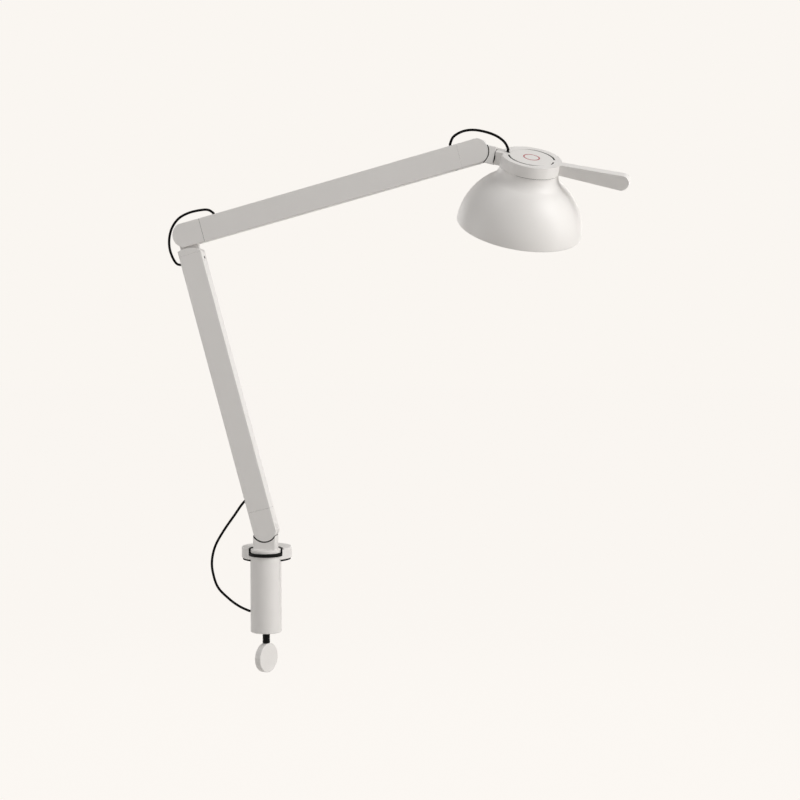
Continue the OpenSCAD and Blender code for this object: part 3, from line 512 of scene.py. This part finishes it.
backwards = turned(180, "Z")
closeFork("base", swivelFrame, "swivel", lowerFrame, "lower_arm")
closeFork("elbow", elbowFrame, "lower_arm", upperFrame, "upper_arm")
closeFork("head", tiltFrame, "knuckle", upperFrame @ shifted(stand["armLength"]) @ backwards, "upper_arm")
# The roll joint's real black washer, drawn wider than the bracket is thick so that its rim shows as painted shade in
# the gap between knuckle and bracket
rollProfile = roundedDisc(jointLook["rollRadius"], jointLook["rollFrom"], jointLook["rollTo"], jointLook["rollSoft"])
rollWasherShade = turnPiece("roll_washer_finished", rollProfile, tiltFrame @ alongX, jointLook["rollSides"],
                       "black_rubber")
seat(rollWasherShade, "knuckle", "black_rubber", "roll_washer")
print("joints: lined")

# Seams: painted shade, a thin black band in the groove between each arm and its end pieces
seamLook = {"halfWidth": 9, "halfHeight": 15.75, "corner": 1.2, "leastCorner": 0.2, "wall": 1.2, "thick": 0.9,
            "cornerSteps": 4}
seams = {
    "lower_base_seam": dict(place=lowerFrame, at=25.2, inset=0.14, body="lower_arm"),
    "lower_elbow_seam": dict(place=lowerFrame, at=374.0, inset=0.22, body="lower_arm"),
    "upper_elbow_seam": dict(place=upperFrame, at=24.2, inset=0.05, body="upper_arm"),
    "upper_head_seam": dict(place=upperFrame, at=378.7, inset=0.2, body="upper_arm"),
}


def roundedLoop(inset):
    halfWidth, halfHeight = seamLook["halfWidth"] - inset, seamLook["halfHeight"] - inset
    radius = max(seamLook["leastCorner"], seamLook["corner"] - inset)
    loop = []
    for sideX, sideY, start in ((1, 1, 0), (-1, 1, 90), (-1, -1, 180), (1, -1, 270)):
        centre = (sideX * (halfWidth - radius), sideY * (halfHeight - radius))
        loop += arc(centre, radius, start, start + 90, seamLook["cornerSteps"])
    return loop


# Each black band is painted shade on its seam line; the inset sets how much of it shows
for name, seam in seams.items():
    half = seamLook["thick"] / 2
    seamShadeBand = stripPiece(name + "_seam_painted_shade", roundedLoop(seam["inset"]), roundedLoop(seam["inset"] + seamLook["wall"]),
                        seam["at"] - half, seam["at"] + half, seam["place"] @ alongX, "black_rubber", closed=True)
    seat(seamShadeBand, seam["body"], "black_rubber")
print("seams:", len(seams))

# Set screws: flush with the arm, with a hollow for the key
setScrewLook = {"radius": 2.1, "top": 15.77, "length": 5, "soft": 0.2,
                "socket": 1.1, "socketDepth": 1.2, "sides": 32}
setScrews = {"lower_arm_set_screw": (lowerFrame, 365.4, "lower_arm"),
             "upper_arm_set_screw": (upperFrame, 369.4, "upper_arm")}


def setScrewProfile(look):
    bottom, socketEnd = look["top"] - look["length"], look["top"] - look["socketDepth"]
    return [(0, bottom), (look["radius"], bottom), (look["radius"], look["top"] - look["soft"]),
            (look["radius"] - look["soft"], look["top"]), (look["socket"], look["top"]),
            (look["socket"], socketEnd), (0, socketEnd)]


for node, (place, along, body) in setScrews.items():
    small = turnPiece(node + "_finished", setScrewProfile(setScrewLook),
                      place @ shifted(along * mm) @ turned(180, "X"), setScrewLook["sides"], "black_steel")
    seat(small, body, "black_steel", node)

# The pin through the knob, filed flush and painted over
knobPinLook = {"radius": 1.6, "half": 4.52, "soft": 0.05, "height": -116.8, "turn": 57, "sides": 32}
pinPlace = shifted(z=knobPinLook["height"] * mm) @ turned(knobPinLook["turn"], "Z") @ acrossY
pinProfile = roundedDisc(knobPinLook["radius"], -knobPinLook["half"], knobPinLook["half"], knobPinLook["soft"])
pin = turnPiece("knob_pin_finished", pinProfile, pinPlace, knobPinLook["sides"], "white_paint")
seat(pin, "screw", "white_paint", "knob_pin")

# The two curved slots in the head's top: painted shade below, as a black strip inside each slot, and painted light
# over the far end of each, as a white strip that tapers in where the slot's wall is lit
slotLook = {"inner": 28.13, "outer": 30.37, "top": 9.0, "paintedShadeTop": 8.5, "paintedLightTop": 8.95, "bottom": 6.6,
            "thinnest": 0.02, "steps": 60}
slots = {"front": dict(start=-162.8, end=-17.2, paintedLightEnd=-17.2, taperFrom=-75, taperTo=-38),
         "back": dict(start=162.8, end=17.2, paintedLightEnd=162.8, taperFrom=95, taperTo=140)}
# Painted shade at the front slot's open end, where its end wall is in shade: it stays black past the painted light
paintedEndShadeLook = {"start": -21, "end": -1, "outer": 30.1, "inner": 29.2, "narrowing": 0.07, "proud": 0.03, "steps": 12}
touchRing = {"inner": 9.0, "outer": 10.8, "top": 9.02, "bottom": 8.25}
# Painted shade along the seam under the ring, as a thin black band
ringSeamShade = {"inner": 36.5, "outer": 38.3, "top": -5.9, "bottom": -6.35}


def spread(start, end, steps):
    return [start + (end - start) * k / steps for k in range(steps + 1)]


def slotEdge(radius, angles):
    return [(radius(a) * math.cos(math.radians(a)), radius(a) * math.sin(math.radians(a))) for a in angles]


def evenEdge(radius, angles):
    return slotEdge(lambda a: radius, angles)


def paintedLightEdge(slot):
    width = slotLook["outer"] - slotLook["inner"]
    begin, full = slot["taperFrom"], slot["taperTo"]
    return lambda a: slotLook["outer"] - width * max(slotLook["thinnest"], min(1, (a - begin) / (full - begin)))


for name, slot in slots.items():
    look = slotLook
    angles = spread(slot["start"], slot["end"], look["steps"])
    # Painted shade: a black strip below the slot's top, where the slot's walls are in shade
    paintedSlotShade = stripPiece(name + "_slot_painted_shade", evenEdge(look["outer"], angles), evenEdge(look["inner"], angles),
                      look["bottom"], look["paintedShadeTop"], ringFrame, "black_plastic")
    seat(paintedSlotShade, "head", "black_plastic")
    angles = spread(slot["taperFrom"], slot["paintedLightEnd"], look["steps"])
    # Painted light: a white strip over the slot's far end, tapering in where the slot's wall is lit
    paintedSlotLight = stripPiece(name + "_slot_painted_light", evenEdge(look["outer"], angles), slotEdge(paintedLightEdge(slot), angles),
                       look["bottom"], look["paintedLightTop"], ringFrame, "white_paint")
    seat(paintedSlotLight, "head", "white_paint")

# Painted shade on the front slot's end wall
angles = spread(paintedEndShadeLook["start"], paintedEndShadeLook["end"], paintedEndShadeLook["steps"])
paintedEndShadeInner = slotEdge(lambda a: paintedEndShadeLook["inner"] - (a - paintedEndShadeLook["start"]) * paintedEndShadeLook["narrowing"], angles)
paintedEndShade = stripPiece("front_slot_end_painted_shade", evenEdge(paintedEndShadeLook["outer"], angles), paintedEndShadeInner, slotLook["paintedShadeTop"],
                   slotLook["top"] + paintedEndShadeLook["proud"], ringFrame, "black_plastic")
seat(paintedEndShade, "head", "black_plastic")


# The touch mark, and painted shade along the seam between ring and shade, as a thin black band under the ring
def bandPiece(name, band, finish, *replaced):
    circle = [k * 5 for k in range(72)]
    piece = stripPiece(name, evenEdge(band["outer"], circle), evenEdge(band["inner"], circle), band["bottom"],
                       band["top"], ringFrame, finish, closed=True)
    seat(piece, "head", finish, *replaced)


bandPiece("touch_ring_finished", touchRing, "red_mark", "touch_ring")
bandPiece("ring_seam_painted_shade", ringSeamShade, "black_rubber")
print("slots:", len(slots))

# Shade: one spun shell with a rolled lip, from the same arcs as the frame's
shadeLook = {"rim": 80.8, "height": 80.2, "band": 3, "neck": 37.8, "neckStraight": 1.3, "hollow": 20, "wall": 1.5,
             "flange": 26, "flangeThick": 2, "ringBottom": -6.0, "edge": 0.5, "innerEdge": 1, "innerRoom": 1.2,
             "edgeSteps": 4, "neckSteps": 20, "ballSteps": 44, "lipSteps": 10, "sides": 180}


def shadeProfile(look):
    top, wall, edge = look["ringBottom"], look["wall"], look["edge"]
    hollow = Vector((look["neck"] + look["hollow"], top - look["neckStraight"]))
    # The ball has the rim's radius at the band's top and touches the neck's hollow
    bandTop = top - look["height"] + look["band"]
    rise = hollow.y - bandTop
    touch = look["hollow"]
    steep = rise ** 2 - touch ** 2
    spare = hollow.x ** 2 + steep - look["rim"] ** 2
    ballRise = (spare * rise - touch * math.sqrt(spare ** 2 + 4 * steep * look["rim"] ** 2)) / (2 * steep)
    ball = Vector((0, bandTop + ballRise))
    ballRadius = math.hypot(look["rim"], ballRise)
    lean = math.degrees(math.atan2(hollow.y - ball.y, hollow.x - ball.x))
    # The wall ends in half a circle at its foot
    bottom = top - look["height"]
    low, innerLow = (math.degrees(math.asin((bottom + wall / 2 - ball.y) / r))
                     for r in (ballRadius, ballRadius - wall))
    outside = [(look["flange"], top), (look["neck"] - edge, top)]
    outside += arc((look["neck"] - edge, top - edge), edge, 90, 0, look["edgeSteps"])[1:]
    outside += arc(hollow, look["hollow"], 180, 180 + lean, look["neckSteps"])
    outside += arc(ball, ballRadius, lean, low, look["ballSteps"])[1:]
    lip = arc((outside[-1][0] - wall / 2, bottom + wall / 2), wall / 2, 0, -180, look["lipSteps"])[1:-1]
    inside = arc(ball, ballRadius - wall, innerLow, lean, look["ballSteps"])
    inside += arc(hollow, look["hollow"] + wall, 180 + lean, 180, look["neckSteps"])[1:]
    under, curve = top - look["flangeThick"], look["innerEdge"]
    inside = [q for q in inside if q[1] < under - look["innerRoom"]]
    inside += arc((look["neck"] - wall - curve, under - curve), curve, 0, 90, look["edgeSteps"])
    return outside + lip + inside + [(look["flange"], under), (look["flange"], top)]


shade = turnPiece("shade_shell", shadeProfile(shadeLook), ringFrame, shadeLook["sides"], "white_paint")
seat(shade, "head", "white_paint", "shade")
print("shade:", len(shade.data.polygons), "faces")

# Clamp screw: trapezoidal thread on its whole length, with a plain pin at each end
screwLook = {"radius": 5, "shoulder": -29.8, "bottom": -109.75, "footPin": 3, "footPinTop": -25.35, "knobPin": 2.4,
             "knobPinBottom": -120.8, "chamfer": 0.8, "pinChamfer": 0.4, "rowsPerTurn": 12, "sides": 40}
screwThread = {"from": screwLook["bottom"] + 2.5, "to": screwLook["shoulder"] - 2.5, "core": 4.5, "depth": 0.5,
               "pitch": 2}


def screwProfile(look, pitch):
    rows = round((look["shoulder"] - look["bottom"]) / pitch * look["rowsPerTurn"])
    start, end = look["bottom"] + look["chamfer"], look["shoulder"] - look["chamfer"]
    cut = [(look["radius"], height) for height in spread(start, end, rows)]
    below = [(0, look["knobPinBottom"]), (look["knobPin"] - look["pinChamfer"], look["knobPinBottom"]),
             (look["knobPin"], look["knobPinBottom"] + look["pinChamfer"]), (look["knobPin"], look["bottom"]),
             (look["radius"] - look["chamfer"], look["bottom"])]
    above = [(look["radius"] - look["chamfer"], look["shoulder"]), (look["footPin"], look["shoulder"]),
             (look["footPin"], look["footPinTop"] - look["pinChamfer"]),
             (look["footPin"] - look["pinChamfer"], look["footPinTop"]), (0, look["footPinTop"])]
    return below + cut + above


screw = turnPiece("clamp_screw_threaded", screwProfile(screwLook, screwThread["pitch"]), Matrix.Identity(4),
                  screwLook["sides"], "black_steel", screwThread)
seat(screw, "screw", "black_steel", "clamp_screw")
print("clamp screw:", len(screw.data.polygons), "faces")

# Floor, backdrop and light
studio = {"backdrop": (0.956, 0.922, 0.880), "ambient": (1.0, 0.985, 0.965), "ambientLevel": 0.20, "floor": -0.74,
          "floorSize": 30, "floorShade": 0.05, "floorColour": (0.996, 0.960, 0.918),
          "floorPaint": (0.8, 0.78, 0.75)}


def seenDirectly(tree):
    path = put(tree, "ShaderNodeLightPath").outputs
    return calc(tree, "MINIMUM", calc(tree, "ADD", calc(tree, "ADD", path["Is Camera Ray"], path["Is Glossy Ray"]),
                                      path["Is Transmission Ray"]), 1.0)


world = bpy.data.worlds.new("studio")
bpy.context.scene.world = world
world.use_nodes = True
worldTree = world.node_tree
worldTree.nodes.clear()
lit = put(worldTree, "ShaderNodeBackground", {"Color": (*studio["ambient"], 1), "Strength": studio["ambientLevel"]})
shown = put(worldTree, "ShaderNodeBackground", {"Color": (*studio["backdrop"], 1), "Strength": 1.0})
mixed = put(worldTree, "ShaderNodeMixShader", {0: seenDirectly(worldTree), 1: lit.outputs[0], 2: shown.outputs[0]})
put(worldTree, "ShaderNodeOutputWorld", {"Surface": mixed.outputs[0]})

floorFinish = bpy.data.materials.new("floor")
floorFinish.use_nodes = True
floorTree = floorFinish.node_tree
floorTree.nodes.clear()
plain = put(floorTree, "ShaderNodeBsdfDiffuse", {"Color": (*studio["floorPaint"], 1)})
pale = put(floorTree, "ShaderNodeEmission", {"Color": (*studio["floorColour"], 1), "Strength": 1.0})
part = calc(floorTree, "MULTIPLY", seenDirectly(floorTree), 1 - studio["floorShade"])
both = put(floorTree, "ShaderNodeMixShader", {0: part, 1: plain.outputs[0], 2: pale.outputs[0]})
put(floorTree, "ShaderNodeOutputMaterial", {"Surface": both.outputs[0]})
floorMesh = bpy.data.meshes.new("floor")
reach = studio["floorSize"] / 2
floorMesh.from_pydata([(x * reach, y * reach, studio["floor"]) for x, y in ((-1, -1), (1, -1), (1, 1), (-1, 1))],
                      [], [(0, 1, 2, 3)])
floorMesh.materials.append(floorFinish)
floor = linkPiece("floor", floorMesh)

# Each lamp stands round the object: degrees to the right of the camera's side, and degrees up
lamps = {
    "key": dict(turn=60, rise=32, power=47, colour=(1.0, 0.99, 0.975)),
    "side": dict(turn=75, rise=5, power=23.5, colour=(1.0, 0.985, 0.97)),
    "upperLeft": dict(turn=-50, rise=58, power=10.5, colour=(1.0, 0.99, 0.985)),
    "front": dict(turn=-20, rise=5, power=6.5, colour=(1.0, 0.99, 0.985)),
    "lowLeft": dict(turn=-80, rise=5, power=11.5, colour=(1.0, 0.99, 0.985)),
    "backRight": dict(turn=165, rise=8, power=8, colour=(1.0, 0.99, 0.985)),
    "backLeft": dict(turn=-145, rise=8, power=9, colour=(1.0, 0.99, 0.985)),
}
lampRoom = {"middle": (0.12, 0, 0.3), "distance": 3.0, "size": 1.6}
for name, look in lamps.items():
    light = bpy.data.lights.new(name, "AREA")
    light.shape = "DISK"
    light.size = lampRoom["size"]
    light.energy = look["power"]
    light.color = look["colour"]
    lamp = bpy.data.objects.new(name, light)
    turn, rise = math.radians(look["turn"]), math.radians(look["rise"])
    away = Vector((math.sin(turn) * math.cos(rise), -math.cos(turn) * math.cos(rise), math.sin(rise)))
    lamp.location = Vector(lampRoom["middle"]) + lampRoom["distance"] * away
    lamp.rotation_euler = away.to_track_quat("Z", "Y").to_euler()
    bpy.context.scene.collection.objects.link(lamp)
bpy.context.scene.view_settings.view_transform = "Standard"
print("studio: lit")
